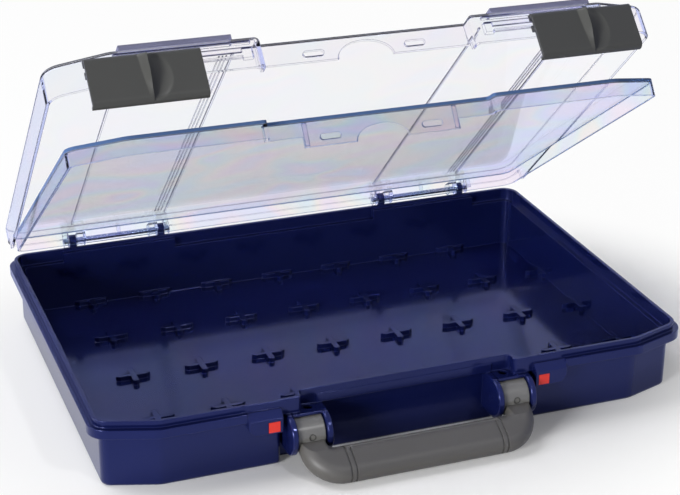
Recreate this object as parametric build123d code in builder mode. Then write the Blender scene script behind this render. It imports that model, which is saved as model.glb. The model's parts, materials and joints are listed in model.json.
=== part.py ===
"""Carry case: a shallow tray, two clear hinged lids, slide latches and a swing handle.

Millimetres, +Z up. The tray stands on its floor at Z = 0 with the floor grid centred
on the origin, the lid hinge runs along X at the rear (+Y) and the handle is at the
front (-Y). Lids and latches are drawn as if the case were shut and turned open at the
end, so every fit between them is read off the same heights and depths.
"""

import os
from math import cos, radians, sin

from build123d import *

os.makedirs("parts", exist_ok=True)

# Grid of cells the tray is laid out for
cells_x = 8
cells_y = 4
pitch_x = 39.0
pitch_y = 50.0
bin_gap = 0.4

# Tray body
wall = 2.0
floor = 2.3
half_x = cells_x * pitch_x / 2 + bin_gap + wall
half_y = cells_y * pitch_y / 2 + bin_gap + wall
bay_deep = 6.6
bay_y = -half_y - bay_deep
corner_back = 9.0
corner_y = bay_y + corner_back
crease_in = 27.4
crease_x = half_x - crease_in
jog_x = 61.5
jog_low_x = 68.6
rear_radius = 6.0
corner_radius = 6.0
crease_radius = 14.0
jog_radius = 2.0
foot_radius = 2.0

# Rim, as distances out from the body face and heights
rim_z = 38.5
rebate_z = 31.5
lip_in = 1.2
lip_out = 3.0
flange_out = 5.8
flange_low = 30.0
flange_top = 34.9
mid_band = 0.5
fill_x = (64.0, 132.0)
fill_top = 36.9

# Keeper pads beside the handle, where the latch hooks catch
pad_in_x = 69.6
pad_out_x = 87.5
pad_proud = 7.6
pad_y = bay_y - pad_proud
pad_low = 22.9
pad_face_top = 31.0
pad_top = 34.6
pad_bevel = 3.6
pad_radius = 5.0

# Red markers let into the pads
marker_x = 74.2
marker_z = 26.4
marker_wide = 6.0
marker_tall = 5.8
marker_deep = 1.2
marker_gap = 0.1

# Handle ears and hood
pivot_proud = 4.4
pivot_y = bay_y - pivot_proud
pivot_z = 19.2
ear_radius = 10.9
ear_in = (45.4, 48.6)
ear_out = (63.8, 67.0)
ear_edge = 0.9
hood_thick = 1.6
hood_front = radians(6)
hood_hole_x = 54.0
hood_hole_back = 0.6
hood_hole_radius = 2.4

# Floor crosses that locate the bins
cross_tall = 2.8
cross_x_long = 19.5
cross_x_wide = 2.6
cross_x_tip = 2.4
cross_y_long = 16.0
cross_y_wide = 3.4
cross_y_tip = 0.8

# Lid hinge
hinge_back = 6.1
hinge_y = half_y + hinge_back
hinge_z = 41.0
knuckle = 3.5
lug_lean = radians(73)
pin_radius = 1.5
pin_fit = 0.05
lug_fit = 0.02
bore_half = 3.5
hinge_in = 66.0
hinge_out = 130.0
lid_knuckles = ((66.0, 69.0), (127.0, 130.0))
inner_knuckles = ((73.6, 78.6), (117.4, 122.4))
tray_lugs = ((69.3, 73.3), (122.7, 126.7))
inner_open = 34.6
outer_open = 44.4

# Inner lid
inner_out = 0.8
inner_wall = 1.6
inner_low = 37.4
inner_top = 46.8
inner_skin = 1.8
tab_half = 42.0
tab_low = 32.0
arm_drop = 2.0
inner_notch_half = 14.0
inner_notch_tall = 8.0

# Outer lid
outer_out = 5.2
outer_wall = 1.7
outer_low = 35.2
outer_top = 52.4
outer_skin = 1.8
outer_edge = 3.0
seat_gap = 0.5
mid_out = lip_out
rear_step = 10.4
rear_low = 41.4
window_top = 47.0
window_gap = 0.3
outer_notch_half = 15.0
outer_notch_tall = 9.0
brow_in = 70.0
brow_out = 127.0
brow_deep = 7.0
brow_tall = 2.5
crease_ribs = (67.5, 124.0)
rib_wide = 1.0
rib_tall = 0.8

# Slots in the middle walls of both lids
slot_x = 27.5
slot_long = 11.0
slot_tall = 3.0
inner_slot_z = 36.6
outer_slot_z = 43.6

# Latch slide: rail on the outer lid, hooked slider on the rail
slide_gap = 0.4
rail_gap = 0.3
lid_face_y = bay_y - outer_out
lug_thick = 1.0
rail_thick = 1.2
rail_web = 1.8
rail_z = 42.3
rail_tall = 5.8
rail_end = 131.0
stop_x = 62.3
guide_z = 47.8
guide_tall = 1.2
guide_deep = 2.2
latch_x = 117.5
latch_long = 57.4
latch_skin = 2.0
latch_travel = 21.0
ledge_thick = 1.4
hook_reach = 1.4
hook_thick = 1.4
ridge_wide = 6.5
ridge_proud = 4.0
ridge_root = 0.5
ridge_end = 1.2
ridge_radius = 2.4
scoop_radius = 16.0
scoop_depth = 1.0
scoop_offset = 11.0
scoop_top = 2.4

# Swing handle
droop = radians(29.1)
grip_reach = 22.6
grip_deep = 19.2
grip_thick = 12.8
arm_in = 49.2
arm_out = 63.4
grip_round = 6.0
grip_corner = 20.0
grip_crook = 3.0
barrel_radius = 8.9
core_thick = 7.0
core_in = 52.5
core_out = 60.0
core_deep = 13.4
core_wall = 3.0
seam_x = 42.0
seam_reach = 16.6
arm_top = 3.3
arm_top_reach = 16.0
ring_x = (39.4, 42.2)
ring_wide = 0.8
ring_deep = 0.5
handle_pin = 2.0
handle_pin_fit = 0.05
rivet_x = 56.2
rivet_up = 0.8
rivet_radius = 1.6
rivet_fit = 0.03
rivet_sunk = 0.25
rivet_foot = 2.6

sides = (-1, 1)


def footprint(grow, jog=jog_x):
    """Case outline moved outward by grow, with its front steps at jog, in the open sketch."""
    right = [
        (half_x, half_y),
        (half_x, corner_y),
        (crease_x, bay_y),
        (jog, bay_y),
        (jog, -half_y),
    ]
    left = [(-x, y) for x, y in reversed(right)]
    Polygon(*right, *left, align=None)
    if grow:
        offset(amount=grow, kind=Kind.INTERSECTION)
    rear = vertices().filter_by(lambda v: v.Y > 0)
    fillet(rear, rear_radius + grow)
    corner = vertices().filter_by(lambda v: v.Y < 0 and abs(v.X) > crease_x + pitch_x / 2)
    fillet(corner, corner_radius + grow)
    crease = vertices().filter_by(lambda v: v.Y < 0 and pad_out_x < abs(v.X) < half_x - pitch_x / 2)
    fillet(crease, crease_radius)
    step = vertices().filter_by(lambda v: abs(v.X) < pad_out_x and v.Y < 0)
    fillet(step, jog_radius)


def block(x_range, y_range, z_range, mode=Mode.ADD):
    """Box between the given limits."""
    with BuildSketch(Plane.XY.offset(z_range[0])) as base:
        with Locations(((x_range[0] + x_range[1]) / 2, (y_range[0] + y_range[1]) / 2)):
            Rectangle(abs(x_range[1] - x_range[0]), abs(y_range[1] - y_range[0]))
    extrude(base.sketch, amount=z_range[1] - z_range[0], mode=mode)


def slab(x_range, profile=None, mode=Mode.ADD):
    """Fill x_range with the profile, or the sketch just drawn, at its middle."""
    half = abs(x_range[1] - x_range[0]) / 2
    extrude(profile, amount=half, both=True, mode=mode)


def side_plane(x_range):
    """Side-view plane (local x = Y, local y = Z) at the middle of x_range."""
    return Plane.YZ.offset((x_range[0] + x_range[1]) / 2)


def mirrored(x_range, side):
    """The same range on the given side of the middle plane."""
    return (side * x_range[0], side * x_range[1])


def ear_profile():
    """Side view of a handle ear: round nose on the pivot, square root in the wall."""
    root = -half_y + wall / 2
    with Locations((pivot_y, pivot_z)):
        Circle(ear_radius)
    with Locations(((pivot_y + root) / 2, pivot_z)):
        Rectangle(root - pivot_y, 2 * ear_radius)


def hood_profile():
    """Side view of the hood that covers the handle barrel from above."""
    root = -half_y + wall / 2
    front = pivot_y - ear_radius * sin(hood_front)
    ear_profile()
    with Locations((pivot_y, pivot_z)):
        Circle(ear_radius - hood_thick, mode=Mode.SUBTRACT)
    with Locations(((pivot_y + root) / 2, pivot_z - hood_thick)):
        Rectangle(root - pivot_y, 2 * ear_radius, mode=Mode.SUBTRACT)
    with Locations((front - ear_radius, pivot_z)):
        Rectangle(2 * ear_radius, 3 * ear_radius, mode=Mode.SUBTRACT)
    with Locations((pivot_y, pivot_z - ear_radius)):
        Rectangle(3 * ear_radius, 2 * ear_radius, mode=Mode.SUBTRACT)


def cross_arm(long, wide, tip, turn):
    """Outline of one cross arm, its two ends brought to a point of length tip."""
    half = long / 2
    straight = half - tip
    Polygon(
        (half, 0),
        (straight, wide / 2),
        (-straight, wide / 2),
        (-half, 0),
        (-straight, -wide / 2),
        (straight, -wide / 2),
        rotation=turn,
        align=None,
    )


def floor_crosses():
    """Raised crosses on every grid corner but the four outermost."""
    with BuildSketch(Plane.XY.offset(floor)) as arms:
        corners = GridLocations(pitch_x, pitch_y, round(cells_x) + 1, round(cells_y) + 1)
        for spot in corners.local_locations:
            beyond_x = abs(spot.position.X) > half_x - pitch_x / 2
            beyond_y = abs(spot.position.Y) > half_y - pitch_y / 2
            if beyond_x and beyond_y:
                continue
            with Locations(spot):
                cross_arm(cross_x_long, cross_x_wide, cross_x_tip, 0)
                cross_arm(cross_y_long, cross_y_wide, cross_y_tip, 90)
    extrude(arms.sketch, amount=cross_tall)
    with BuildSketch(Plane.XY.offset(floor)) as room:
        footprint(-wall / 2, jog_low_x)
    extrude(room.sketch, amount=cross_tall, mode=Mode.INTERSECT)


def lug_profile():
    """Side view of a hinge lug rising from the rear rim to the hinge axis."""
    rim_y = half_y + flange_out
    Polygon(
        (hinge_y - knuckle, hinge_z),
        (hinge_y - knuckle, flange_low + wall),
        (rim_y, flange_low + wall),
        (rim_y, flange_top),
        (hinge_y + knuckle * sin(lug_lean), hinge_z - knuckle * cos(lug_lean)),
        (hinge_y, hinge_z),
        align=None,
    )
    with Locations((hinge_y, hinge_z)):
        Circle(knuckle)


def knuckle_bore(x_range, fit):
    """Pin bore through a knuckle and the wall close beside it."""
    with BuildSketch(side_plane(x_range)) as bore:
        with Locations((hinge_y, hinge_z)):
            Circle(pin_radius + fit)
    extrude(bore.sketch, amount=bore_half, both=True, mode=Mode.SUBTRACT)


with BuildPart() as crosses:
    floor_crosses()

with BuildPart() as front_fittings:
    for plate in (ear_in, ear_out):
        with BuildPart() as ear:
            with BuildSketch(side_plane(plate)):
                ear_profile()
            slab(plate)
            fillet(ear.edges().filter_by(GeomType.CIRCLE), ear_edge)
        add(ear.part)
    with BuildSketch(side_plane((ear_in[1], ear_out[0]))):
        hood_profile()
    slab((ear_in[1], ear_out[0]))
    with BuildPart() as pad:
        with BuildSketch(side_plane((pad_in_x, pad_out_x))):
            Polygon(
                (bay_y + wall / 2, pad_low),
                (pad_y, pad_low),
                (pad_y, pad_face_top),
                (pad_y + pad_bevel, pad_top),
                (bay_y + wall / 2, pad_top),
                align=None,
            )
        slab((pad_in_x, pad_out_x))
        lowest = pad.edges().filter_by(Axis.Y).group_by(Axis.Z)[0]
        fillet(lowest.sort_by(Axis.X)[-1], pad_radius)
    add(pad.part)
    mirror(about=Plane.YZ)

with BuildPart() as tray:
    with BuildSketch():
        footprint(0, jog_low_x)
    extrude(amount=flange_low)
    fillet(tray.faces().sort_by(Axis.Z)[0].edges(), foot_radius)
    with BuildSketch(Plane.XY.offset(flange_low)):
        footprint(lip_out)
    extrude(amount=rim_z - flange_low)
    with BuildSketch(Plane.XY.offset(flange_low)):
        footprint(flange_out)
        with Locations((0, bay_y)):
            Rectangle(2 * pad_out_x, 2 * (bay_y + half_y), mode=Mode.SUBTRACT)
    extrude(amount=flange_top - flange_low)
    mid_y = -half_y - lip_out - mid_band
    block((-ear_in[1], ear_in[1]), (mid_y, -half_y), (flange_low, flange_top))
    add(front_fittings.part)
    for side in sides:
        for lug in tray_lugs:
            with BuildSketch(side_plane(mirrored(lug, side))):
                lug_profile()
            slab(lug)
            knuckle_bore(mirrored(lug, side), lug_fit)
    with BuildSketch(Plane.XY.offset(floor)):
        footprint(-wall, jog_low_x)
    extrude(amount=rebate_z - floor, mode=Mode.SUBTRACT)
    with BuildSketch(Plane.XY.offset(rebate_z)):
        footprint(lip_in)
    extrude(amount=rim_z - rebate_z, mode=Mode.SUBTRACT)
    for side in sides:
        # behind the hinges the rear wall is thick up to just under the inner lid
        block(mirrored(fill_x, side), (half_y - wall, half_y + lip_in), (rebate_z, fill_top))
        with BuildSketch(Plane.XY.offset(pivot_z)):
            with Locations((side * hood_hole_x, bay_y + hood_hole_back)):
                Circle(hood_hole_radius)
        extrude(amount=ear_radius, mode=Mode.SUBTRACT)
        with BuildSketch(side_plane(mirrored((ear_in[0], ear_out[1]), side))):
            with Locations((pivot_y, pivot_z)):
                Circle(handle_pin + handle_pin_fit)
        slab((ear_in[0] - wall, ear_out[1] + wall), mode=Mode.SUBTRACT)
        pocket = marker_wide / 2 + marker_gap
        block(
            (side * marker_x - pocket, side * marker_x + pocket),
            (pad_y - marker_deep, pad_y + marker_deep),
            (marker_z - marker_tall / 2 - marker_gap, marker_z + marker_tall / 2 + marker_gap),
            mode=Mode.SUBTRACT,
        )
    add(crosses.part)


with BuildPart() as inner_lid:
    with BuildSketch(Plane.XY.offset(inner_low)):
        footprint(inner_out)
    extrude(amount=inner_top - inner_low)
    inner_y = -half_y - inner_out
    block((-tab_half, tab_half), (inner_y, inner_y + inner_wall), (tab_low, inner_low))
    with BuildSketch(Plane.XY.offset(inner_low)):
        footprint(inner_out - inner_wall)
    extrude(amount=inner_top - inner_skin - inner_low, mode=Mode.SUBTRACT)
    with BuildSketch(Plane.XZ.offset(half_y)):
        with Locations((0, tab_low)):
            Ellipse(inner_notch_half, inner_notch_tall)
        for side in sides:
            with Locations((side * slot_x, inner_slot_z)):
                SlotOverall(slot_long, slot_tall)
    extrude(amount=wall, both=True, mode=Mode.SUBTRACT)
    for side in sides:
        for arm in inner_knuckles:
            with BuildSketch(side_plane(mirrored(arm, side))):
                with Locations((hinge_y, hinge_z)):
                    Circle(knuckle)
                root = half_y + inner_out - inner_wall / 2
                with Locations(((root + hinge_y) / 2, hinge_z + (knuckle - arm_drop) / 2)):
                    Rectangle(hinge_y - root, knuckle + arm_drop)
            slab(arm)
            knuckle_bore(mirrored(arm, side), pin_fit)


with BuildPart() as outer_lid:
    with BuildSketch(Plane.XY.offset(outer_low)):
        footprint(outer_out)
    extrude(amount=outer_top - outer_low)
    mid_face = -half_y - mid_out
    inside = jog_x - outer_out
    block((-inside, inside), (bay_y - flange_out, mid_face), (outer_low, outer_top), Mode.SUBTRACT)
    fillet(outer_lid.faces().sort_by(Axis.Z)[-1].edges(), outer_edge)
    with BuildSketch(Plane.XY.offset(outer_low)):
        footprint(outer_out - outer_wall)
        with Locations((0, bay_y)):
            span = 2 * (inside + outer_wall)
            depth = 2 * (mid_face + outer_wall - bay_y)
            Rectangle(span, depth, mode=Mode.SUBTRACT)
    extrude(amount=outer_top - outer_skin - outer_low, mode=Mode.SUBTRACT)
    # the middle wall and the rear wall stop above the rim lip
    low_mid = (outer_low, rim_z + seat_gap)
    span = inside + outer_wall
    depth = (mid_face - jog_radius, mid_face + 2 * outer_wall)
    block((-span, span), depth, low_mid, Mode.SUBTRACT)
    far = half_x + flange_out
    rear = (half_y - rear_step, half_y + flange_out)
    block((-far, far), rear, (outer_low, rear_low), Mode.SUBTRACT)
    with BuildSketch(Plane.XZ.offset(-mid_face)):
        with Locations((0, rim_z + seat_gap)):
            Ellipse(outer_notch_half, outer_notch_tall)
        for side in sides:
            with Locations((side * slot_x, outer_slot_z)):
                SlotOverall(slot_long, slot_tall)
    extrude(amount=2 * outer_wall, both=True, mode=Mode.SUBTRACT)
    for side in sides:
        window = (lid_knuckles[0][1] + window_gap, lid_knuckles[1][0] - window_gap)
        rear = (half_y + outer_out - 2 * outer_wall, half_y + flange_out)
        block(mirrored(window, side), rear, (outer_low, window_top), Mode.SUBTRACT)
        for arm in lid_knuckles:
            with BuildSketch(side_plane(mirrored(arm, side))):
                with Locations((hinge_y, hinge_z)):
                    Circle(knuckle)
                with Locations((hinge_y - knuckle / 2, (hinge_z + window_top) / 2)):
                    Rectangle(knuckle, window_top - hinge_z)
            slab(arm)
            knuckle_bore(mirrored(arm, side), pin_fit)
        brow_y = (lid_face_y + outer_edge / 2, lid_face_y + outer_edge / 2 + brow_deep)
        brow_z = (outer_top - outer_skin, outer_top + brow_tall)
        block(mirrored((brow_in, brow_out), side), brow_y, brow_z)
        for rib in crease_ribs:
            rib_range = mirrored((rib - rib_wide / 2, rib + rib_wide / 2), side)
            rib_z = (outer_top - outer_skin - rib_tall, outer_top - outer_skin)
            block(rib_range, (corner_y, half_y), rib_z)
        web_z = (rail_z - rail_web / 2, rail_z + rail_web / 2)
        flange_back = lid_face_y - 2 * rail_gap - lug_thick
        rail = mirrored((stop_x, rail_end), side)
        block(rail, (flange_back, lid_face_y + outer_wall / 2), web_z)
        rail_range = (rail_z - rail_tall / 2, rail_z + rail_tall / 2)
        block(rail, (flange_back - rail_thick, flange_back), rail_range)
        stop = mirrored((stop_x, latch_x - latch_long / 2 - latch_travel - slide_gap), side)
        block(stop, (flange_back - rail_thick, lid_face_y + outer_wall / 2), rail_range)
        guide = (guide_z, guide_z + guide_tall)
        block(rail, (lid_face_y - guide_deep, lid_face_y + outer_wall / 2), guide)


def latch_body(middle):
    """Slider round middle that clips on the lid rail and hooks under the tray pad."""
    lip_front = lid_face_y - rail_gap - lug_thick
    lip_back = lid_face_y - rail_gap
    inner_face = lip_front - 2 * rail_gap - rail_thick
    front = inner_face - latch_skin
    rail_low = rail_z - rail_tall / 2
    rail_high = rail_z + rail_tall / 2
    web_low = rail_z - rail_web / 2 - slide_gap
    web_high = rail_z + rail_web / 2 + slide_gap
    top = rail_high + slide_gap + ledge_thick
    hook_top = pad_low - slide_gap
    hook_back = pad_y + hook_reach
    run = (middle - latch_long / 2, middle + latch_long / 2)
    with BuildSketch(side_plane(run)) as section:
        Polygon(
            (front, hook_top - hook_thick),
            (hook_back, hook_top - hook_thick),
            (hook_back, hook_top),
            (inner_face, hook_top),
            (inner_face, rail_low - slide_gap - ledge_thick),
            (lip_back, rail_low - slide_gap - ledge_thick),
            (lip_back, web_low),
            (lip_front, web_low),
            (lip_front, rail_low - slide_gap),
            (inner_face, rail_low - slide_gap),
            (inner_face, rail_high + slide_gap),
            (lip_front, rail_high + slide_gap),
            (lip_front, web_high),
            (lip_back, web_high),
            (lip_back, top),
            (front, top),
            align=None,
        )
        fillet(section.vertices().filter_by(lambda v: abs(v.X - front) < 0.01), ledge_thick)
    slab(run, section.sketch)
    foot = hook_top - hook_thick + ridge_end
    with BuildSketch(Plane.XY.offset(foot)) as ridge:
        with Locations((middle, front - (ridge_proud - ridge_root) / 2)):
            Rectangle(ridge_wide, ridge_proud + ridge_root)
        fillet(ridge.vertices().group_by(Axis.Y)[0], ridge_radius)
    extrude(ridge.sketch, amount=top - ridge_end - foot)
    # a shallow finger scoop on one side of the ridge
    with BuildSketch(Plane.XY.offset(foot + ridge_end)) as scoop:
        with Locations((middle + scoop_offset, front - scoop_radius + scoop_depth)):
            Circle(scoop_radius)
        with Locations((middle + ridge_wide / 2 - latch_long / 2, front)):
            Rectangle(latch_long, 2 * scoop_radius, mode=Mode.SUBTRACT)
    extrude(scoop.sketch, amount=top - scoop_top - foot - ridge_end, mode=Mode.SUBTRACT)


with BuildPart() as latch_left:
    latch_body(-latch_x)

with BuildPart() as latch_right:
    latch_body(latch_x)


pivot = (0, pivot_y, pivot_z)
handle_plane = Plane(origin=pivot, x_dir=(1, 0, 0), z_dir=(0, sin(droop), -cos(droop)))
handle_side = Plane(origin=pivot, x_dir=(0, -cos(droop), -sin(droop)), z_dir=(-1, 0, 0))


def grip_outline(near, far, low, high, outer_round, inner_round):
    """U-shaped outline in the handle plane, arms from near to far, bar from low to high."""
    Polygon(
        (far, 0),
        (far, high),
        (-far, high),
        (-far, 0),
        (-near, 0),
        (-near, low),
        (near, low),
        (near, 0),
        align=None,
    )
    fillet(vertices().group_by(Axis.Y)[-1], outer_round)
    crook = vertices().filter_by(lambda v: 0 < v.Y < low + inner_round and abs(v.X) <= near)
    fillet(crook, inner_round)


def grip_body():
    """Whole rounded grip, before it is shared between the frame and the cover."""
    low = grip_reach - grip_deep / 2
    high = grip_reach + grip_deep / 2
    with BuildSketch(handle_plane) as loop:
        grip_outline(arm_in, arm_out, low, high, grip_corner, grip_crook)
    extrude(loop.sketch, amount=grip_thick / 2, both=True)
    normal = Axis(origin=pivot, direction=handle_plane.z_dir)
    skins = faces().sort_by(normal)
    reach = Axis(origin=pivot, direction=handle_plane.y_dir)
    for skin in (skins[0], skins[-1]):
        ends = skin.edges().sort_by(reach)[:2]
        fillet([edge for edge in skin.edges() if edge not in ends], grip_round)
    # the arms thin down on top where they leave the barrels
    with BuildSketch(handle_side) as wedge:
        Polygon(
            (0, grip_thick),
            (0, 0),
            (arm_top_reach / 2, arm_top),
            (arm_top_reach, grip_thick / 2),
            (arm_top_reach, grip_thick),
            align=None,
        )
    extrude(wedge.sketch, amount=2 * arm_out, both=True, mode=Mode.SUBTRACT)


with BuildPart() as inner_half:
    grip_body()
    with BuildSketch(handle_plane):
        with Locations((0, seam_reach / 2)):
            Rectangle(2 * seam_x, seam_reach)
    extrude(amount=grip_thick, both=True, mode=Mode.INTERSECT)

with BuildPart() as handle_frame:
    with BuildSketch(handle_plane):
        low = grip_reach - core_deep / 2
        high = grip_reach + core_deep / 2
        grip_outline(core_in, core_out, low, high, grip_corner - core_wall, core_wall)
    extrude(amount=core_thick / 2, both=True)
    for side in sides:
        barrel = mirrored((arm_in, arm_out), side)
        with BuildSketch(side_plane(barrel)):
            with Locations((pivot_y, pivot_z)):
                Circle(barrel_radius)
        slab(barrel)
        with BuildSketch(side_plane(barrel)):
            with Locations((pivot_y, pivot_z)):
                Circle(handle_pin + handle_pin_fit)
        slab((arm_in - wall, arm_out + wall), mode=Mode.SUBTRACT)
        with BuildSketch(Plane.XZ.offset(-pivot_y + rivet_foot)):
            with Locations((side * rivet_x, pivot_z + rivet_up)):
                Circle(rivet_radius + rivet_fit)
        extrude(amount=barrel_radius, mode=Mode.SUBTRACT)
    add(inner_half.part)

with BuildPart() as handle_cover:
    grip_body()
    add(handle_frame.part, mode=Mode.SUBTRACT)
    for side in sides:
        barrel = mirrored((arm_in, arm_out), side)
        with BuildSketch(side_plane(barrel)):
            with Locations((pivot_y, pivot_z)):
                Circle(barrel_radius)
        slab(barrel, mode=Mode.SUBTRACT)
        for start in ring_x:
            ring = mirrored((start, start + ring_wide), side)
            middle = (ring[0] + ring[1]) / 2
            where = Plane(
                origin=(middle, pivot_y, pivot_z),
                x_dir=handle_side.x_dir,
                z_dir=(-1, 0, 0),
            )
            with BuildSketch(where):
                with Locations((grip_reach, 0)):
                    RectangleRounded(grip_deep + ring_wide, grip_thick + ring_wide, grip_round)
                    RectangleRounded(
                        grip_deep - 2 * ring_deep,
                        grip_thick - 2 * ring_deep,
                        grip_round - ring_deep,
                        mode=Mode.SUBTRACT,
                    )
            slab(ring, mode=Mode.SUBTRACT)


def handle_pin_body(side):
    """Pin through both ears and the barrel between them."""
    run = mirrored((ear_in[0], ear_out[1]), side)
    with BuildSketch(side_plane(run)) as rod:
        with Locations((pivot_y, pivot_z)):
            Circle(handle_pin)
    slab(run, rod.sketch)


def hinge_pin_body(side):
    """Pin through one group of hinge knuckles."""
    run = mirrored((hinge_in, hinge_out), side)
    with BuildSketch(side_plane(run)) as rod:
        with Locations((hinge_y, hinge_z)):
            Circle(pin_radius)
    slab(run, rod.sketch)


def rivet_body(side):
    """Dowel set into the front of a handle barrel."""
    with BuildSketch(Plane.XZ.offset(-pivot_y + rivet_foot)) as dowel:
        with Locations((side * rivet_x, pivot_z + rivet_up)):
            Circle(rivet_radius)
    extrude(dowel.sketch, amount=barrel_radius - rivet_foot - rivet_sunk)


def marker_body(side):
    """Red insert that lies flush in the pad face."""
    half = marker_wide / 2
    block(
        (side * marker_x - half, side * marker_x + half),
        (pad_y, pad_y + marker_deep),
        (marker_z - marker_tall / 2, marker_z + marker_tall / 2),
    )


with BuildPart() as handle_pin_left:
    handle_pin_body(-1)

with BuildPart() as handle_pin_right:
    handle_pin_body(1)

with BuildPart() as hinge_pin_left:
    hinge_pin_body(-1)

with BuildPart() as hinge_pin_right:
    hinge_pin_body(1)

with BuildPart() as handle_rivet_left:
    rivet_body(-1)

with BuildPart() as handle_rivet_right:
    rivet_body(1)

with BuildPart() as indicator_left:
    marker_body(-1)

with BuildPart() as indicator_right:
    marker_body(1)


hinge_axis = Axis(origin=(0, hinge_y, hinge_z), direction=(1, 0, 0))
pieces = {
    "tray": (tray, 0),
    "inner_lid": (inner_lid, inner_open),
    "outer_lid": (outer_lid, outer_open),
    "latch_left": (latch_left, outer_open),
    "latch_right": (latch_right, outer_open),
    "handle_frame": (handle_frame, 0),
    "handle_cover": (handle_cover, 0),
    "handle_pin_left": (handle_pin_left, 0),
    "handle_pin_right": (handle_pin_right, 0),
    "handle_rivet_left": (handle_rivet_left, 0),
    "handle_rivet_right": (handle_rivet_right, 0),
    "hinge_pin_left": (hinge_pin_left, 0),
    "hinge_pin_right": (hinge_pin_right, 0),
    "indicator_left": (indicator_left, 0),
    "indicator_right": (indicator_right, 0),
}
for name, (piece, opened) in pieces.items():
    placed = piece.part.rotate(hinge_axis, -opened) if opened else piece.part
    placed.label = name
    export_step(placed, "parts/" + name + ".step")
    print(name, len(placed.solids()), "solid(s), volume", round(placed.volume))
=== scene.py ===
# %% [markdown]
# # A carry case with two clear lids
#
# The real object is an injection-moulded case for flat tools: a navy tray, two clear lids
# on one hinge line, two slide latches and a swing handle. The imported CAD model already
# has every solid in its right place, so this notebook dresses it. Each step says what the
# finish or the small piece is on the real case, how it could be made, and why it is made
# this way here. Blender works in metres and the case is drawn in millimetres, so `mm`
# turns one into the other.

import json
from math import acos, cos, degrees, radians, sin

import bpy
import numpy as np
from mathutils import Matrix, Vector


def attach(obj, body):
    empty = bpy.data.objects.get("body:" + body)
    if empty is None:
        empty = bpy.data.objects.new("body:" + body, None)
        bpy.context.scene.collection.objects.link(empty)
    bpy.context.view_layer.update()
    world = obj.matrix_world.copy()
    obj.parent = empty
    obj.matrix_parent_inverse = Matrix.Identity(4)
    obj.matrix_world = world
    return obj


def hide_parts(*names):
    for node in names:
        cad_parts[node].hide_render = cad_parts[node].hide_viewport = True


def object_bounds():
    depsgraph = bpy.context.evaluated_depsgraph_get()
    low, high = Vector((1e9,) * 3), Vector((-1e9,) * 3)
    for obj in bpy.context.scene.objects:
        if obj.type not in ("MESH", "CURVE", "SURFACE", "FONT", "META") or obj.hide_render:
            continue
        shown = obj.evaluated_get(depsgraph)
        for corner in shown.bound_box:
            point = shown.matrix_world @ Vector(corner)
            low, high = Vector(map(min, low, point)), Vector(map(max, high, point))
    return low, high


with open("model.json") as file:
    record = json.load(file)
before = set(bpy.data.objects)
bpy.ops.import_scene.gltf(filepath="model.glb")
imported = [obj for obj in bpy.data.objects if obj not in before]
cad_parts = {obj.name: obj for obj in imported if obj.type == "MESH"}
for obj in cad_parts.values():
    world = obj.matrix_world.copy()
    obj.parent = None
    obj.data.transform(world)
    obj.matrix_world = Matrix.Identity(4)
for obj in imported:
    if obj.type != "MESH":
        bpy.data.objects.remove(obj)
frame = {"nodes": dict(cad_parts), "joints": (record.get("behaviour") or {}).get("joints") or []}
nodes = frame["nodes"]
cad_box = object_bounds()
mm = 0.001

# %% [markdown]
# ## Hinge and lid angles
#
# The lids stand open, but a piece that belongs on a lid is easiest to work out with the
# lid shut, and is then turned about the hinge by the lid's angle. The hinge and both
# angles come from the frame's joints. The low end of a lid's range is the turn that shuts
# it, and the outer lid's turn counts from the inner lid.

# %% Measure the hinge
joints = {joint["name"]: joint for joint in frame["joints"]}
hinge = Vector(joints["inner_lid_hinge"]["pos_m"])
inner_open = -joints["inner_lid_hinge"]["range_deg"][0]
outer_open = inner_open - joints["outer_lid_hinge"]["range_deg"][0]
print("inner lid open", inner_open, "outer lid open", outer_open)

# %% [markdown]
# ## Colour and node helpers
#
# Colours are easiest to choose as the hex codes of a paint program, which are sRGB, but
# Cycles works with linear light, so one function turns the first into the second. A second
# function adds a node, sets its options and plugs its inputs in one call. That keeps each
# material short enough to read from top to bottom.


# %% Helpers for colours and nodes
def srgb(code):
    """Linear RGBA of a hex code: each channel c is ((c + 0.055) / 1.055) ** 2.4 above 0.04045."""
    channels = np.array([int(code[i : i + 2], 16) for i in (1, 3, 5)]) / 255
    linear = np.where(channels > 0.04045, ((channels + 0.055) / 1.055) ** 2.4, channels / 12.92)
    return (*linear.tolist(), 1.0)


def add(tree, kind, inputs=None, **settings):
    """Add a node of this kind, set its options, and link or fill the inputs named."""
    made = tree.nodes.new(kind)
    for name, value in settings.items():
        setattr(made, name, value)
    for name, value in (inputs or {}).items():
        if isinstance(value, bpy.types.NodeSocket):
            tree.links.new(value, made.inputs[name])
        else:
            made.inputs[name].default_value = value
    return made


def per_metre(size):
    """Noise scale whose features are size mm apart on Object coordinates in metres."""
    return 1 / (size * mm)


def new_material(name):
    """An empty node material and its tree."""
    made = bpy.data.materials.new(name)
    made.use_nodes = True
    made.node_tree.nodes.clear()
    return made, made.node_tree


def finish_material(tree, shader):
    """Plug a shader's output into the material output."""
    add(tree, "ShaderNodeOutputMaterial", {"Surface": shader})


print("the hex code #808080 is", round(srgb("#808080")[0], 3), "in linear light")

# %% [markdown]
# ## Moulded plastic
#
# The tray, the latches and the handle are all moulded in coloured plastic. The eye reads
# four things on such a part: a colour that drifts a little where the melt flowed, a fine
# grain copied from the steel of the mould, gloss that is broken up by handling, and edges
# that are never truly sharp and so catch a thin line of light. One function makes all four
# from real sizes in millimetres. The rounded edge comes from the Bevel node, which bends
# the normals near an edge and so leaves the shape alone. The mirrored light is white
# unless shine tints it, as the deep blue of the tray does.

# %% A function for moulded plastics
flow_size, rub_size = 60, 14
least_rub, most_rub = 0.8, 1.25


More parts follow.
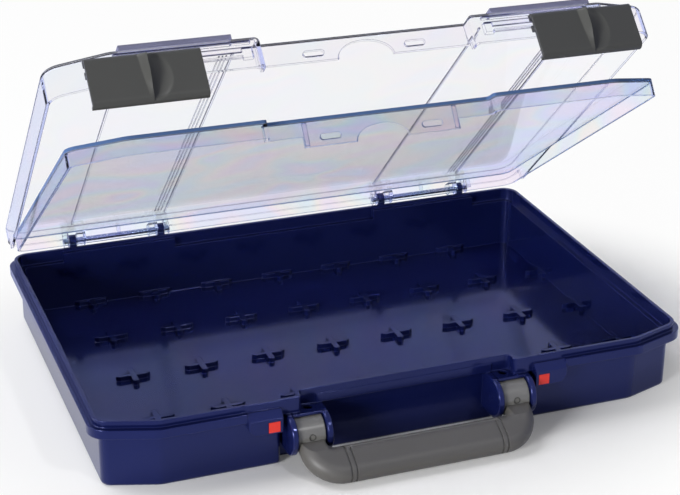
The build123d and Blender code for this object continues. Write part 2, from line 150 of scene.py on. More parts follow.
def moulded_plastic(
    name, dark, light, gloss, grain_size, grain_deep, edge_round, specular, shine="#FFFFFF"
):
    """Plastic between two close colours, with mould grain, uneven gloss and soft edges.

    Sizes are in mm. The roughness is gloss times a share from least_rub to most_rub.
    """
    made, tree = new_material(name)
    place = add(tree, "ShaderNodeTexCoord").outputs["Object"]
    flow = add(
        tree,
        "ShaderNodeTexNoise",
        {"Vector": place, "Scale": per_metre(flow_size), "Detail": 3.0},
    )
    colour = add(
        tree,
        "ShaderNodeMix",
        {"Factor": flow.outputs["Fac"], "A": srgb(dark), "B": srgb(light)},
        data_type="RGBA",
    )
    grain = add(
        tree,
        "ShaderNodeTexNoise",
        {"Vector": place, "Scale": per_metre(grain_size), "Detail": 2.0},
    )
    rub = add(
        tree,
        "ShaderNodeTexNoise",
        {"Vector": place, "Scale": per_metre(rub_size), "Detail": 4.0},
    )
    rough = add(
        tree,
        "ShaderNodeMapRange",
        {"Value": rub.outputs["Fac"], "To Min": gloss * least_rub, "To Max": gloss * most_rub},
    )
    edge = add(tree, "ShaderNodeBevel", {"Radius": edge_round * mm}, samples=4)
    bump = add(
        tree,
        "ShaderNodeBump",
        {
            "Height": grain.outputs["Fac"],
            "Distance": grain_deep * mm,
            "Normal": edge.outputs["Normal"],
        },
    )
    skin = add(
        tree,
        "ShaderNodeBsdfPrincipled",
        {
            "Base Color": colour.outputs["Result"],
            "Roughness": rough.outputs["Result"],
            "Normal": bump.outputs["Normal"],
            "Specular IOR Level": specular,
            "Specular Tint": srgb(shine),
        },
    )
    finish_material(tree, skin.outputs["BSDF"])
    return made


print("colour drifts over", flow_size, "mm and gloss over", rub_size, "mm")

# %% [markdown]
# ## The coloured plastics
#
# - The tray and the handle's pins are navy polypropylene from a polished mould: deep blue
#   with a clear soft shine.
# - The latches are dark grey nylon, a little duller, with a visible grain.
# - The handle has a stiff mid-grey core, which is smooth, and a soft grip over it, which is
#   rubbery and scatters light widely.
# - The two markers are bright red plastic.

# %% Make the coloured plastics
navy = moulded_plastic(
    "navy_polypropylene",
    dark="#0B1136",
    light="#101747",
    gloss=0.12,
    grain_size=1.2,
    grain_deep=0.004,
    edge_round=0.8,
    specular=0.75,
    shine="#A4AEF4",
)
dark_grey = moulded_plastic(
    "dark_grey_nylon",
    dark="#40403C",
    light="#4A4A46",
    gloss=0.42,
    grain_size=0.9,
    grain_deep=0.02,
    edge_round=0.5,
    specular=0.25,
)
mid_grey = moulded_plastic(
    "mid_grey_nylon",
    dark="#6C6B67",
    light="#767571",
    gloss=0.3,
    grain_size=0.9,
    grain_deep=0.01,
    edge_round=0.8,
    specular=0.5,
)
soft_grey = moulded_plastic(
    "soft_grip_rubber",
    dark="#504E4A",
    light="#5A5854",
    gloss=0.46,
    grain_size=0.8,
    grain_deep=0.012,
    edge_round=0.3,
    specular=0.45,
)
red = moulded_plastic(
    "signal_red_plastic",
    dark="#D92C1C",
    light="#E8382A",
    gloss=0.35,
    grain_size=0.8,
    grain_deep=0.004,
    edge_round=0.2,
    specular=0.4,
)
print("coloured plastics:", navy.name, dark_grey.name, mid_grey.name, soft_grey.name, red.name)

# %% [markdown]
# ## Drawn steel
#
# The hinge pins are steel wire, drawn through a die and left bright. Little of them shows
# between the knuckles. A metal has no colour drift to speak of, so all its life is in the
# gloss, which the die and the fit of the pin have rubbed unevenly.

# %% Make the steel
scratch_size = 1.5
brightest, dullest = 0.18, 0.34
steel, steel_tree = new_material("drawn_steel")
steel_place = add(steel_tree, "ShaderNodeTexCoord").outputs["Object"]
steel_rub = add(
    steel_tree,
    "ShaderNodeTexNoise",
    {"Vector": steel_place, "Scale": per_metre(scratch_size), "Detail": 3.0},
)
steel_rough = add(
    steel_tree,
    "ShaderNodeMapRange",
    {"Value": steel_rub.outputs["Fac"], "To Min": brightest, "To Max": dullest},
)
steel_skin = add(
    steel_tree,
    "ShaderNodeBsdfPrincipled",
    {"Base Color": srgb("#B9BCC0"), "Metallic": 1.0, "Roughness": steel_rough.outputs["Result"]},
)
finish_material(steel_tree, steel_skin.outputs["BSDF"])
print("made", steel.name, "with a roughness of", brightest, "to", dullest)

# %% [markdown]
# ## Colour of a clear wall
#
# The lids are clear plastic walls under two millimetres thick. Seen square on they hardly
# tint what is behind them, but a wall seen along its length is a thick blue-grey line,
# because the light has come through centimetres of plastic. Volume absorption would give
# that, but it is slow and other programs drop it. Here the colour follows the angle
# instead: almost white when the wall faces the eye and bluer when it is edge on. A wide,
# weak noise keeps it from being one even tint. A second noise, read through a row of
# pastels, paints faint rainbow bands. They are partly the colours of a clear moulding that
# cooled under strain and partly painted reflection: the lilac sheen that mirrored light
# shows in such plastic, put into the colour.

# %% A function for the colour of a clear wall
haze_size, strain_sheen_size = 90, 55
pastels = ("#F4E4F4", "#DFE4FB", "#DDF1F0", "#F6F0E2", "#F6E3EE", "#E0E6FB")
first_band, next_band = 0.3, 0.08
slant_start = 0.55


def wall_colour(tree, place, face, cloud, edge, strain_and_sheen):
    """Colour that drifts from face to cloud, by a share of strain_and_sheen to bands of strain
    colour and painted reflection.

    From slant_start, where 0 is square on and 1 is edge on, it goes over to edge.
    """
    slant = add(tree, "ShaderNodeLayerWeight", {"Blend": 0.35})
    slant_ramp = add(
        tree,
        "ShaderNodeMapRange",
        {"Value": slant.outputs["Facing"], "From Min": slant_start, "From Max": 1.0},
        interpolation_type="SMOOTHSTEP",
    )
    haze = add(
        tree,
        "ShaderNodeTexNoise",
        {"Vector": place, "Scale": per_metre(haze_size), "Detail": 2.0},
    )
    tint = add(
        tree,
        "ShaderNodeMix",
        {"Factor": haze.outputs["Fac"], "A": srgb(face), "B": srgb(cloud)},
        data_type="RGBA",
    )
    # Painted reflection: these pastel bands put the lilac sheen of mirrored light into the colour,
    # over the real strain colours of the moulding.
    strain_sheen = add(
        tree,
        "ShaderNodeTexNoise",
        {"Vector": place, "Scale": per_metre(strain_sheen_size), "Detail": 1.0, "Distortion": 0.6},
    )
    bands = add(tree, "ShaderNodeValToRGB", {"Fac": strain_sheen.outputs["Fac"]})
    stops = bands.color_ramp.elements
    for number, pastel in enumerate(pastels):
        spot = first_band + next_band * number
        stop = stops[number] if number < len(stops) else stops.new(spot)
        stop.position = spot
        stop.color = srgb(pastel)
    faint = add(
        tree,
        "ShaderNodeMix",
        {"Factor": strain_and_sheen, "A": tint.outputs["Result"], "B": bands.outputs["Color"]},
        data_type="RGBA",
    )
    colour = add(
        tree,
        "ShaderNodeMix",
        {"Factor": slant_ramp.outputs["Result"], "A": faint.outputs["Result"], "B": srgb(edge)},
        data_type="RGBA",
    )
    return colour.outputs["Result"]


print("strain bands of", len(pastels), "pastels,", strain_sheen_size, "mm wide")

# %% [markdown]
# ## Rims of the clear walls
#
# Two places on a lid look solid rather than clear. One is the fine line along each rounded
# edge, which bends the light away. It is found by comparing the Bevel node's rounded
# normal with the face's own, since the two part only near an edge. The other is the end of
# the top plate, where the eye looks into the plate along its whole length. It is found as
# the faces that stand upright above the plate's underside. A clear plate seen that way
# collects light that has bounced inside it many times, which a render cuts short and
# leaves black, so these faces get a rim colour and lose most of their clearness.

# %% A function for the rims
rim_start, rim_full = 0.99, 0.9
under_plate, over_plate = 0.4, 0.2
leaning, standing = 0.7, 0.3


def rim_share(tree, place, soft_edge, angle, plate_low):
    """Share of rim: 1 on rounded edges and on the ends of the top plate, 0 elsewhere.

    The lid stands open by angle degrees, so its up is (0, sin angle, cos angle). With the
    lid shut, the underside of its top plate is plate_low mm above the floor.
    """
    flat = add(tree, "ShaderNodeNewGeometry")
    turned = add(
        tree,
        "ShaderNodeVectorMath",
        {0: soft_edge, 1: flat.outputs["Normal"]},
        operation="DOT_PRODUCT",
    )
    rim_line = add(
        tree,
        "ShaderNodeMapRange",
        {"Value": turned.outputs["Value"], "From Min": rim_start, "From Max": rim_full},
    )
    lid_up = Vector((0, sin(radians(angle)), cos(radians(angle))))
    plate_start = hinge.dot(lid_up) + plate_low * mm - hinge.z
    high = add(tree, "ShaderNodeVectorMath", {0: place, 1: lid_up}, operation="DOT_PRODUCT")
    above = add(
        tree,
        "ShaderNodeMapRange",
        {
            "Value": high.outputs["Value"],
            "From Min": plate_start - under_plate * mm,
            "From Max": plate_start + over_plate * mm,
        },
    )
    lid_normal = add(tree, "ShaderNodeTexCoord").outputs["Normal"]
    facing_up = add(
        tree, "ShaderNodeVectorMath", {0: lid_normal, 1: lid_up}, operation="DOT_PRODUCT"
    )
    level = add(tree, "ShaderNodeMath", {0: facing_up.outputs["Value"]}, operation="ABSOLUTE")
    upright = add(
        tree,
        "ShaderNodeMapRange",
        {"Value": level.outputs["Value"], "From Min": leaning, "From Max": standing},
    )
    plate_end = add(
        tree,
        "ShaderNodeMath",
        {0: above.outputs["Result"], 1: upright.outputs["Result"]},
        operation="MULTIPLY",
    )
    share = add(
        tree,
        "ShaderNodeMath",
        {0: plate_end.outputs["Value"], 1: rim_line.outputs["Result"]},
        operation="MAXIMUM",
    )
    return share.outputs["Value"]


print("a rim line starts where the normal turns by", round(degrees(acos(rim_start)), 1), "degrees")

# %% [markdown]
# ## Clear polystyrene
#
# A Principled shader with full transmission joins the two. Solid polystyrene bends light
# by an index of 1.59, but walls this thin hardly shift what is behind them, and a lower
# index keeps their mirrored light as faint as it is on the real lids. A ray that looks
# for a lamp stops at glass, so those rays meet a plain grey Transparent shader instead.
# That lets the lamps reach the tray and gives the lids a pale shadow. The inner lid is a
# shade bluer than the outer one, which is painted reflection of the navy tray, and its
# bands of strain colour and painted reflection are stronger.

# %% A function for clear plastics
edge_round, wipe_size = 0.6, 25
least_rough, most_rough = 0.015, 0.05
rim_clearness = 0.35
shadow_tint = "#A0A0AE"


def clear_plastic(name, face, cloud, edge, rim, ior, strain_and_sheen, angle, plate_low):
    """Clear moulding: wall_colour and clear inside, rim colour and less clear at the rims."""
    made, tree = new_material(name)
    place = add(tree, "ShaderNodeTexCoord").outputs["Object"]
    soft_edge = add(tree, "ShaderNodeBevel", {"Radius": edge_round * mm}, samples=6)
    share = rim_share(tree, place, soft_edge.outputs["Normal"], angle, plate_low)
    rimmed = add(
        tree,
        "ShaderNodeMix",
        {
            "Factor": share,
            "A": wall_colour(tree, place, face, cloud, edge, strain_and_sheen),
            "B": srgb(rim),
        },
        data_type="RGBA",
    )
    clearness = add(
        tree, "ShaderNodeMapRange", {"Value": share, "To Min": 1.0, "To Max": rim_clearness}
    )
    wipe = add(
        tree,
        "ShaderNodeTexNoise",
        {"Vector": place, "Scale": per_metre(wipe_size), "Detail": 3.0},
    )
    rough = add(
        tree,
        "ShaderNodeMapRange",
        {"Value": wipe.outputs["Fac"], "To Min": least_rough, "To Max": most_rough},
    )
    skin = add(
        tree,
        "ShaderNodeBsdfPrincipled",
        {
            "Base Color": rimmed.outputs["Result"],
            "Roughness": rough.outputs["Result"],
            "IOR": ior,
            "Transmission Weight": clearness.outputs["Result"],
            "Normal": soft_edge.outputs["Normal"],
        },
    )
    lamp_way = add(tree, "ShaderNodeBsdfTransparent", {"Color": srgb(shadow_tint)})
    ray = add(tree, "ShaderNodeLightPath")
    mixed = add(
        tree,
        "ShaderNodeMixShader",
        {0: ray.outputs["Is Shadow Ray"], 1: skin.outputs["BSDF"], 2: lamp_way.outputs["BSDF"]},
    )
    finish_material(tree, mixed.outputs["Shader"])
    return made


# %% Make the clear plastics
inner_plate, outer_plate = 45.0, 50.6
clear = clear_plastic(
    "clear_polystyrene",
    face="#FFFFFF",
    cloud="#F9F9FE",
    edge="#E8E9F3",
    rim="#8C8DA8",
    ior=1.1,
    strain_and_sheen=0.12,
    angle=outer_open,
    plate_low=outer_plate,
)
# Painted reflection: the inner lid's bluer colours stand in for the navy tray mirrored in it.
clear_with_tray_sheen = clear_plastic(
    "clear_polystyrene_tray_sheen",
    face="#FCFBFF",
    cloud="#F0EFFA",
    edge="#C8D2EA",
    rim="#5E7CB0",
    ior=1.115,
    strain_and_sheen=0.5,
    angle=inner_open,
    plate_low=inner_plate,
)
print("clear plastics:", clear.name, clear_with_tray_sheen.name)

# %% [markdown]
# ## Dress the CAD nodes
#
# The CAD meshes already have the right shapes, so each node only takes its finish. Its
# list of materials is emptied and gets that one finish, which leaves its points and faces
# as they were.

# %% Give every node its finish
finishes = {
    "tray": navy,
    "inner_lid": clear_with_tray_sheen,
    "outer_lid": clear,
    "latch_left": dark_grey,
    "latch_right": dark_grey,
    "handle_frame": mid_grey,
    "handle_cover": soft_grey,
    "handle_pin_left": navy,
    "handle_pin_right": navy,
    "handle_rivet_left": mid_grey,
    "handle_rivet_right": mid_grey,
    "hinge_pin_left": steel,
    "hinge_pin_right": steel,
    "indicator_left": red,
    "indicator_right": red,
}
for name, finish in finishes.items():
    node_slots = nodes[name].data.materials
    node_slots.clear()
    node_slots.append(finish)
print("dressed", len(finishes), "of", len(nodes), "nodes")

# %% [markdown]
# ## Helpers for new pieces
#
# A moulded part with a constant section is a profile carried along a line. As arrays that
# is a grid of points: one row for each station along the line and one column for each
# point of the profile. Joining neighbours makes the faces. The two helpers below turn such
# a grid into a mesh and turn a piece from the shut position into the open one.

# %% Helpers for grid surfaces
crease_angle = 32


def grid_piece(name, grid, finish, caps=False):
    """Mesh of a (rows, columns, 3) grid in metres; the columns close round, caps shut the ends.

    The sign of the enclosed volume, the sum of a . (b x c) / 6 over the triangles of the
    faces, tells whether they point outwards, and if not their order is turned round.
    """
    rows, columns = grid.shape[:2]
    index = np.arange(rows * columns).reshape(rows, columns)
    across = np.roll(index, -1, axis=1)
    faces = np.stack((index[:-1], across[:-1], across[1:], index[1:]), axis=-1).reshape(-1, 4)
    points = grid.reshape(-1, 3)
    centre = points.mean(axis=0)
    a, b, c, d = (points[faces[:, corner]] - centre for corner in range(4))
    volume = np.einsum("ij,ij->i", a, np.cross(b, c) + np.cross(c, d)).sum()
    ends = [index[0, ::-1].tolist(), index[-1].tolist()] if caps else []
    polygons = faces.tolist() + ends
    if volume < 0:
        polygons = [polygon[::-1] for polygon in polygons]
    mesh = bpy.data.meshes.new(name)
    mesh.from_pydata(points.tolist(), [], polygons)
    mesh.polygons.foreach_set("use_smooth", np.ones(len(polygons), dtype=bool))
    mesh.set_sharp_from_angle(angle=radians(crease_angle))
    mesh.materials.append(finish)
    mesh.update()
    piece = bpy.data.objects.new(name, mesh)
    bpy.context.scene.collection.objects.link(piece)
    return piece


def opened(grid, angle):
    """Turn a grid from the shut position about the lids' hinge by angle degrees.

    y' = y cos a + z sin a and z' = z cos a - y sin a, measured from the hinge.
    """
    y, z = grid[..., 1] - hinge.y, grid[..., 2] - hinge.z
    turned_y = y * cos(radians(angle)) + z * sin(radians(angle)) + hinge.y
    turned_z = z * cos(radians(angle)) - y * sin(radians(angle)) + hinge.z
    return np.stack((grid[..., 0], turned_y, turned_z), axis=-1)


print("edges over", crease_angle, "degrees stay sharp")

# %% [markdown]
# ## Slide latches: the section
#
# Each latch is a C-shaped slider that clips on a rail of the outer lid, and its foot hooks
# under a pad of the tray. The section is drawn with the lid shut, as points of y and z in
# millimetres: up the rounded front, then down the back round the upper groove, the ledge,
# the lower groove and the hook.

# %% Section of the slider
latch_low, latch_top = 21.1, 47.0
latch_face = -119.3
low_round, top_round = 3.0, 2.4
clip_back, clip_front, skin_back = -114.5, -115.5, -117.3
upper_lip, upper_groove = 43.6, 45.6
ledge_low, lower_groove, lower_lip = 37.6, 39.0, 41.0
hook_back, hook_high = -115.2, 22.5
face_points = 24


def arc_points(centre_y, centre_z, radius, start, stop, count=7):
    """Points of an arc: centre + radius * (cos a, sin a), for count angles in degrees."""
    angle = np.radians(np.linspace(start, stop, count))
    return np.stack((centre_y + radius * np.cos(angle), centre_z + radius * np.sin(angle)), axis=-1)


low_arc = arc_points(latch_face + low_round, latch_low + low_round, low_round, 270, 180)
top_arc = arc_points(latch_face + top_round, latch_top - top_round, top_round, 180, 90)
face_z = np.linspace(latch_low + low_round, latch_top - top_round, face_points + 2)[1:-1]
face_line = np.stack((np.full_like(face_z, latch_face), face_z), axis=-1)
back = np.array(
    [
        (clip_back, latch_top),
        (clip_back, upper_lip),
        (clip_front, upper_lip),
        (clip_front, upper_groove),
        (skin_back, upper_groove),
        (skin_back, lower_groove),
        (clip_front, lower_groove),
        (clip_front, lower_lip),
        (clip_back, lower_lip),
        (clip_back, ledge_low),
        (skin_back, ledge_low),
        (skin_back, hook_high),
        (hook_back, hook_high),
        (hook_back, latch_low),
    ]
)
section = np.concatenate((low_arc, face_line, top_arc, back))
front_count = len(low_arc) + len(face_line) + len(top_arc)
print("slider section of", len(section), "points")

# %% [markdown]
# ## Slide latches: fin and scoop
#
# A thumb pushes the latch by a leaf-shaped fin with a scoop beside it. The CAD latch has a
# plain rib there, so a finer piece replaces it: its front is a height field over the
# distance across the latch and the height up it. Left of the crest the fin rises from a
# slanting foot to the crest. Right of the crest the scoop starts deep and runs out in an
# arc.

# %% Height of the front
fin_foot, fin_lean = 0.6, 2.4
fin_crest, fin_proud = 1.2, 3.9
fin_rise, flank_power = 0.6, 1.2
scoop_gap, scoop_deep, scoop_long = 0.35, 1.85, 11.0
scoop_power, runout_power = 0.6, 2.2
least_reach = 0.02


def front_height(across, along):
    """How far the front stands proud, in mm, at across mm from the middle and along 0 to 1.

    The fin's foot leans from fin_foot left of the middle at the bottom to fin_lean further
    left at the top, and its crest rises as a smoothstep of along. The scoop is a power of
    the distance from the crest, over a length that follows half an ellipse.
    """
    foot = -fin_foot - fin_lean * along
    rise = np.clip(along / fin_rise, 0, 1)
    crest = fin_proud * rise**2 * (3 - 2 * rise)
    flank = crest * np.clip((across - foot) / (fin_crest - foot), 0, 1) ** flank_power
    reach = np.sqrt(np.clip(1 - (2 * along - 1) ** 2, least_reach**2, 1))
    runout = np.clip((across - fin_crest - scoop_gap) / (scoop_long * reach), 0, 1)
    scoop = -scoop_deep * reach**scoop_power * (1 - runout**runout_power)
    return np.where(across <= fin_crest, flank, scoop)


middle_height = front_height(np.array([fin_crest, fin_crest + scoop_gap]), 0.5)
print("half-way up: fin and scoop at", middle_height.round(2).tolist(), "mm")

# %% [markdown]
# ## Slide latches: the sliders
#
# The section is carried along x, with more stations where the fin and the scoop are. The
# front height fades in over the rounded ends of the front, so that the bottom and the top
# of the latch stay straight. Both latches come from one mould, so the right one isn't
# mirrored.

# %% Make the sliders
latch_span, latch_middle = 57.4, 117.5
zones = (  # from and to, in mm from the middle, and the number of stations
    (-latch_span / 2, -4, 12),
    (-3.8, fin_crest, 22),
    (fin_crest + scoop_gap, 16, 34),
    (17, latch_span / 2, 8),
)
stations = np.concatenate([np.linspace(*zone) for zone in zones])
along_face = np.clip((section[:, 1] - latch_low) / (latch_top - latch_low), 0, 1)
on_front = np.zeros(len(section))
on_front[:front_count] = 1
on_front[: len(low_arc)] = np.linspace(0, 1, len(low_arc))
on_front[front_count - len(top_arc) : front_count] = np.linspace(1, 0, len(top_arc))
proud = front_height(stations[:, None], along_face[None, :]) * on_front
for side, name in ((-1, "latch_left"), (1, "latch_right")):
    grid = np.empty((len(stations), len(section), 3))
    grid[..., 0] = side * latch_middle + stations[:, None]
    grid[..., 1] = section[None, :, 0] - proud
    grid[..., 2] = section[None, :, 1]
    slider = grid_piece("slider_" + name, opened(grid * mm, outer_open), dark_grey, caps=True)
    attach(slider, name)
    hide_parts(name)
    print(slider.name, "triangles about", 2 * len(slider.data.polygons))

# %% [markdown]
# ## Fine ribs on the lids
#
# The clear mouldings are stiffened by low ribs: one at each end of the inner lid's tab,
# three on each side of its rear wall near the hinge, and three hair-fine ones under the
# outer lid's top beside a crease. Each is half an ellipse carried along a straight line,
# and it fades out at both ends so that it looks moulded on. A rib in the mesh bends the
# light as the real one does, which a line painted in the material would not.

# %% One rib
rib_sunk = 0.1
fade_power = 8
rib_stations, rib_columns = 25, 11


def low_rib(start, end, out, half, proud):
    """Grid of a rib from start to end, in mm, that stands proud along out.

    Point = centre line + side * half * cos u + out * ((proud + sunk) * sin u * fade - sunk),
    where fade is the root of 1 - |2t - 1| ** fade_power and t runs along the rib from 0 to 1.
    """
    start, end, out = (np.array(place, dtype=float) for place in (start, end, out))
    along = np.linspace(0, 1, rib_stations)[:, None, None]
    turn = np.linspace(0, np.pi, rib_columns)[None, :, None]
    run = end - start
    side = np.cross(run / np.linalg.norm(run), out)
    fade = np.sqrt(np.clip(1 - np.abs(2 * along - 1) ** fade_power, 0, 1))
    lift = (proud + rib_sunk) * np.sin(turn) * fade - rib_sunk
    return start + run * along + side * half * np.cos(turn) + out * lift


print("a rib has", rib_stations, "stations of", rib_columns, "points")

# %% All the ribs
# Places are in mm with the lid shut, and each size is the rib's half width and height.
forward_out, down_out = (0, -1, 0), (0, 0, -1)
tab_x, tab_y, tab_z = 40.5, -103.2, (32.6, 44.6)
tab_size = (1.3, 0.4)
rear_x, rear_y, rear_z = (68.5, 97.5, 130.0), 101.6, (39.3, 44.7)
rear_size = (1.2, 1.4)
creases = ((-67.5, "left"), (124.0, "right"))
crease_y = (-98.0, 100.0)
crease_first, crease_next = 2.6, 1.9
crease_size = (0.4, 0.5)
inner_ribs, outer_ribs = {}, {}
for side, name in ((-1, "left"), (1, "right")):
    low, high = ((side * tab_x, tab_y, z) for z in tab_z)
    inner_ribs["tab_rib_" + name] = low_rib(low, high, forward_out, *tab_size)
    for number, x in enumerate(rear_x):
        low, high = ((side * x, rear_y, z) for z in rear_z)
        inner_ribs[f"rear_rib_{name}_{number}"] = low_rib(low, high, forward_out, *rear_size)
for crease, name in creases:
    for number in range(3):
        x = crease - crease_first - crease_next * number
        front, rear = ((x, y, outer_plate) for y in crease_y)
        outer_ribs[f"crease_rib_{name}_{number}"] = low_rib(front, rear, down_out, *crease_size)
for ribs, body, angle, finish in (
    (inner_ribs, "inner_lid", inner_open, clear_with_tray_sheen),
    (outer_ribs, "outer_lid", outer_open, clear),
):
    for name, grid in ribs.items():
        rib = grid_piece(name, opened(grid * mm, angle), finish)
        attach(rib, body)
    print(len(ribs), "ribs on", body)

# %% [markdown]
# ## Rivet rings
#
# The grip is held on its core by a rivet in each barrel, and the moulding leaves a fine
# ring round the rivet's head. The ring is a small profile turned about the rivet's axis
# and laid on the barrel, so that it follows the barrel's curve. It is made in the darker
# grey as painted shade of the groove round the rivet's head.

# %% Rings round the rivets
barrel_y, barrel_z, barrel_round = -113.4, 19.2, 8.9
rivet_x, rivet_z = 56.2, 20.0
ring_radius = np.array([1.4, 1.42, 1.6, 1.78, 1.8])
ring_proud = np.array([-0.3, 0.1, 0.2, 0.1, -0.3])
ring_steps = 48
ring_turn = np.linspace(0, 2 * np.pi, ring_steps, endpoint=False)[:, None]
for side, name in ((-1, "left"), (1, "right")):
    ring_x = side * rivet_x + ring_radius * np.cos(ring_turn)
    ring_z = rivet_z + ring_radius * np.sin(ring_turn)
    barrel_deep = np.sqrt(barrel_round**2 - (ring_z - barrel_z) ** 2)
    ring_y = barrel_y - barrel_deep - ring_proud
    ring_grid = np.stack((ring_x, ring_y, ring_z), axis=-1)
    ring_grid = np.concatenate((ring_grid, ring_grid[:1]))
    # The dark grey ring is painted shade: it draws the groove round the rivet head dark.
    ring = grid_piece("rivet_shade_ring_" + name, ring_grid * mm, dark_grey)
    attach(ring, "handle")
print("two rivet rings of", ring_steps, "steps")

# %% [markdown]
# ## Floor
#
# The case stands on white paper that keeps its shadow. Paper lit by lamps alone comes out
# grey away from them, so further out it goes over to a plain white glow of strength 1,
# by the distance from the case on an oval. A ray that has scattered off a surface sees the
# bare paper, so the glow adds no soft light to the case. A mirrored ray sees the glow a
# little blue, which keeps the gloss of the navy plastic cool.

# %% Make the floor
white, mirrored_blue = "#FFFFFF", "#CCD4FF"
floor_size = 6.0
oval = (0.75, 1.0, 0.0)
glow_start, glow_full = 0.122, 0.22
least_glow, most_glow = 0.05, 0.95
floor_mesh = bpy.data.meshes.new("floor")
corners = np.array([(-1, -1), (1, -1), (1, 1), (-1, 1)]) * floor_size / 2
floor_mesh.from_pydata([(x, y, 0.0) for x, y in corners.tolist()], [], [(0, 1, 2, 3)])
floor = bpy.data.objects.new("floor", floor_mesh)
floor.location.z = cad_box[0][2]
bpy.context.scene.collection.objects.link(floor)
paper, paper_tree = new_material("white_paper")
floor_mesh.materials.append(paper)
print("paper floor", floor_size, "m wide")

# %% Glow of the paper
paper_skin = add(
    paper_tree,
    "ShaderNodeBsdfPrincipled",
    {"Base Color": srgb("#FCFCFC"), "Roughness": 0.9, "Specular IOR Level": 0.1},
)
paper_ray = add(paper_tree, "ShaderNodeLightPath")
glow_colour = add(
    paper_tree,
    "ShaderNodeMix",
    {
        "Factor": paper_ray.outputs["Glossy Depth"],
        "A": srgb(white),
        "B": srgb(mirrored_blue),
    },
    data_type="RGBA",
)
paper_glow = add(
    paper_tree, "ShaderNodeEmission", {"Color": glow_colour.outputs["Result"], "Strength": 1.0}
)
not_scattered = add(
    paper_tree,
    "ShaderNodeMath",
    {0: 1.0, 1: paper_ray.outputs["Diffuse Depth"]},
    operation="SUBTRACT",
    use_clamp=True,
)
paper_place = add(paper_tree, "ShaderNodeTexCoord").outputs["Object"]
on_oval = add(
    paper_tree, "ShaderNodeVectorMath", {0: paper_place, 1: oval}, operation="MULTIPLY"
)
away = add(
    paper_tree, "ShaderNodeVectorMath", {0: on_oval.outputs["Vector"]}, operation="LENGTH"
)
fade_in = add(
    paper_tree,
    "ShaderNodeMapRange",
    {
        "Value": away.outputs["Value"],
        "From Min": glow_start,
        "From Max": glow_full,
        "To Min": least_glow,
        "To Max": most_glow,
    },
    interpolation_type="SMOOTHSTEP",
)
glow_share = add(
    paper_tree,
    "ShaderNodeMath",
    {0: not_scattered.outputs["Value"], 1: fade_in.outputs["Result"]},
    operation="MULTIPLY",
)
paper_mix = add(
    paper_tree,
    "ShaderNodeMixShader",
    {
        0: glow_share.outputs["Value"],
        1: paper_skin.outputs["BSDF"],
        2: paper_glow.outputs["Emission"],
    },
)
finish_material(paper_tree, paper_mix.outputs["Shader"])
print("glow starts", glow_start, "m from the middle and is full at", glow_full, "m")

# %% [markdown]
# ## Room light
#
# The room is white to the eye, also through the clear lids, and bluish in a mirrored ray,
# which gives the navy plastic its cool shine. A ray that has scattered off a surface finds
# only a dim grey, so the lamps alone model the case. Light Path's two depths count the
# mirrored and the scattered bounces of a ray, and light through clear plastic adds to
# neither. That is why they serve here better than Is Glossy Ray, which is also true behind
# rough glass.

# %% Make the room
dim_grey = "#4C4C52"
world = bpy.data.worlds.new("white_room")
world.use_nodes = True
bpy.context.scene.world = world
room = world.node_tree
room.nodes.clear()
room_ray = add(room, "ShaderNodeLightPath")
unscattered = add(
    room,
    "ShaderNodeMix",
    {
        "Factor": room_ray.outputs["Glossy Depth"],
        "A": srgb(white),
        "B": srgb(mirrored_blue),
    },
    data_type="RGBA",
)
room_colour = add(
    room,
    "ShaderNodeMix",
    {
        "Factor": room_ray.outputs["Diffuse Depth"],
        "A": unscattered.outputs["Result"],
        "B": srgb(dim_grey),
    },
    data_type="RGBA",
)
room_glow = add(
    room, "ShaderNodeBackground", {"Color": room_colour.outputs["Result"], "Strength": 1.0}
)
add(room, "ShaderNodeOutputWorld", {"Surface": room_glow.outputs["Background"]})
print("room:", white, "to the eye,", dim_grey, "to scattered light")

# %% [markdown]
# ## Lamps
#
# Three softboxes light the case. The first hangs over it and a little behind, so that the
# tray's floor mirrors its glow towards the eye. The second stands low on the left, lights
# the front and left walls and lays the shadow to the right. The third is small and in
# front, which gives the rounded plastic edges their sparks.


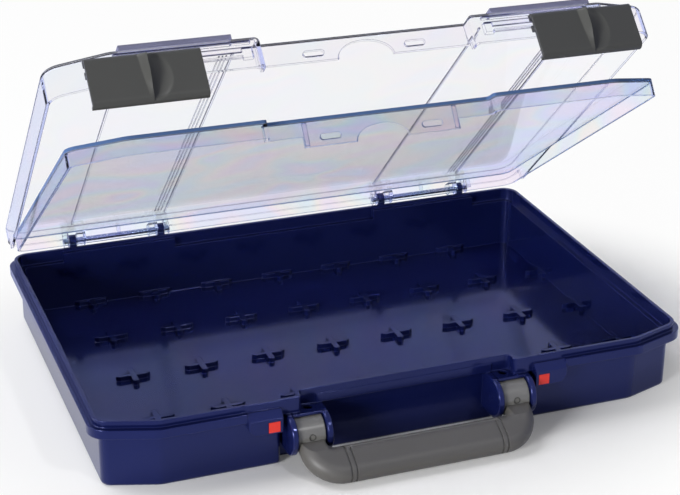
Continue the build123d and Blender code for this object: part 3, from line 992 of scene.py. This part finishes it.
# %% Hang the lamps
def softbox(name, place, aim, size, watts):
    """Square area lamp of that size at place, in metres, that faces aim."""
    lamp = bpy.data.lights.new(name, "AREA")
    lamp.shape = "SQUARE"
    lamp.size = size
    lamp.energy = watts
    box = bpy.data.objects.new(name, lamp)
    box.location = place
    box.rotation_euler = (Vector(aim) - Vector(place)).to_track_quat("-Z", "Y").to_euler()
    bpy.context.scene.collection.objects.link(box)
    return box


case_foot, case_middle = (0, 0, 0), (0, 0, 0.05)
lamps = (
    softbox("top_softbox", place=(-0.6, 0.4, 1.2), aim=case_foot, size=0.8, watts=12),
    softbox("left_softbox", place=(-1.5, -1.0, 0.42), aim=case_middle, size=0.5, watts=28),
    softbox("spark_lamp", place=(0.35, -1.1, 1.1), aim=case_middle, size=0.1, watts=2.5),
)
print("lamps:", *(f"{lamp.name} {lamp.data.energy:g} W" for lamp in lamps))

# %% [markdown]
# ## Camera
#
# The camera looks down on the case from its front left. Its place is worked out from the
# point that it aims at, its distance from there, and the turn and height of the line
# between them, and roll tilts it about that line. A long lens keeps the perspective
# gentle.

# %% Camera
image_wide = 680
focal_pixels = 1742.94
sensor = 36.0
turn, height, roll = radians(20.84), radians(24.06), radians(0.56)
distance = 996.65 * mm
target = Vector((11.7, 20.9, 53.2)) * mm
forward = Vector((sin(turn) * cos(height), cos(turn) * cos(height), -sin(height)))
right = forward.cross(Vector((0, 0, 1))).normalized()
up = right.cross(forward)
right, up = right * cos(roll) + up * sin(roll), up * cos(roll) - right * sin(roll)
axes = Matrix((right, up, -forward)).transposed().to_4x4()
lens = bpy.data.cameras.new("camera")
lens.sensor_width = sensor
lens.lens = focal_pixels * sensor / image_wide
camera = bpy.data.objects.new("camera", lens)
camera.matrix_world = Matrix.Translation(target - forward * distance) @ axes
bpy.context.scene.collection.objects.link(camera)
bpy.context.scene.camera = camera
print("camera at", [round(v, 3) for v in camera.matrix_world.translation])

# %% [markdown]
# ## Colour management and closing
#
# Standard view keeps colours as they were chosen.

# %% Close
bpy.context.scene.view_settings.view_transform = "Standard"
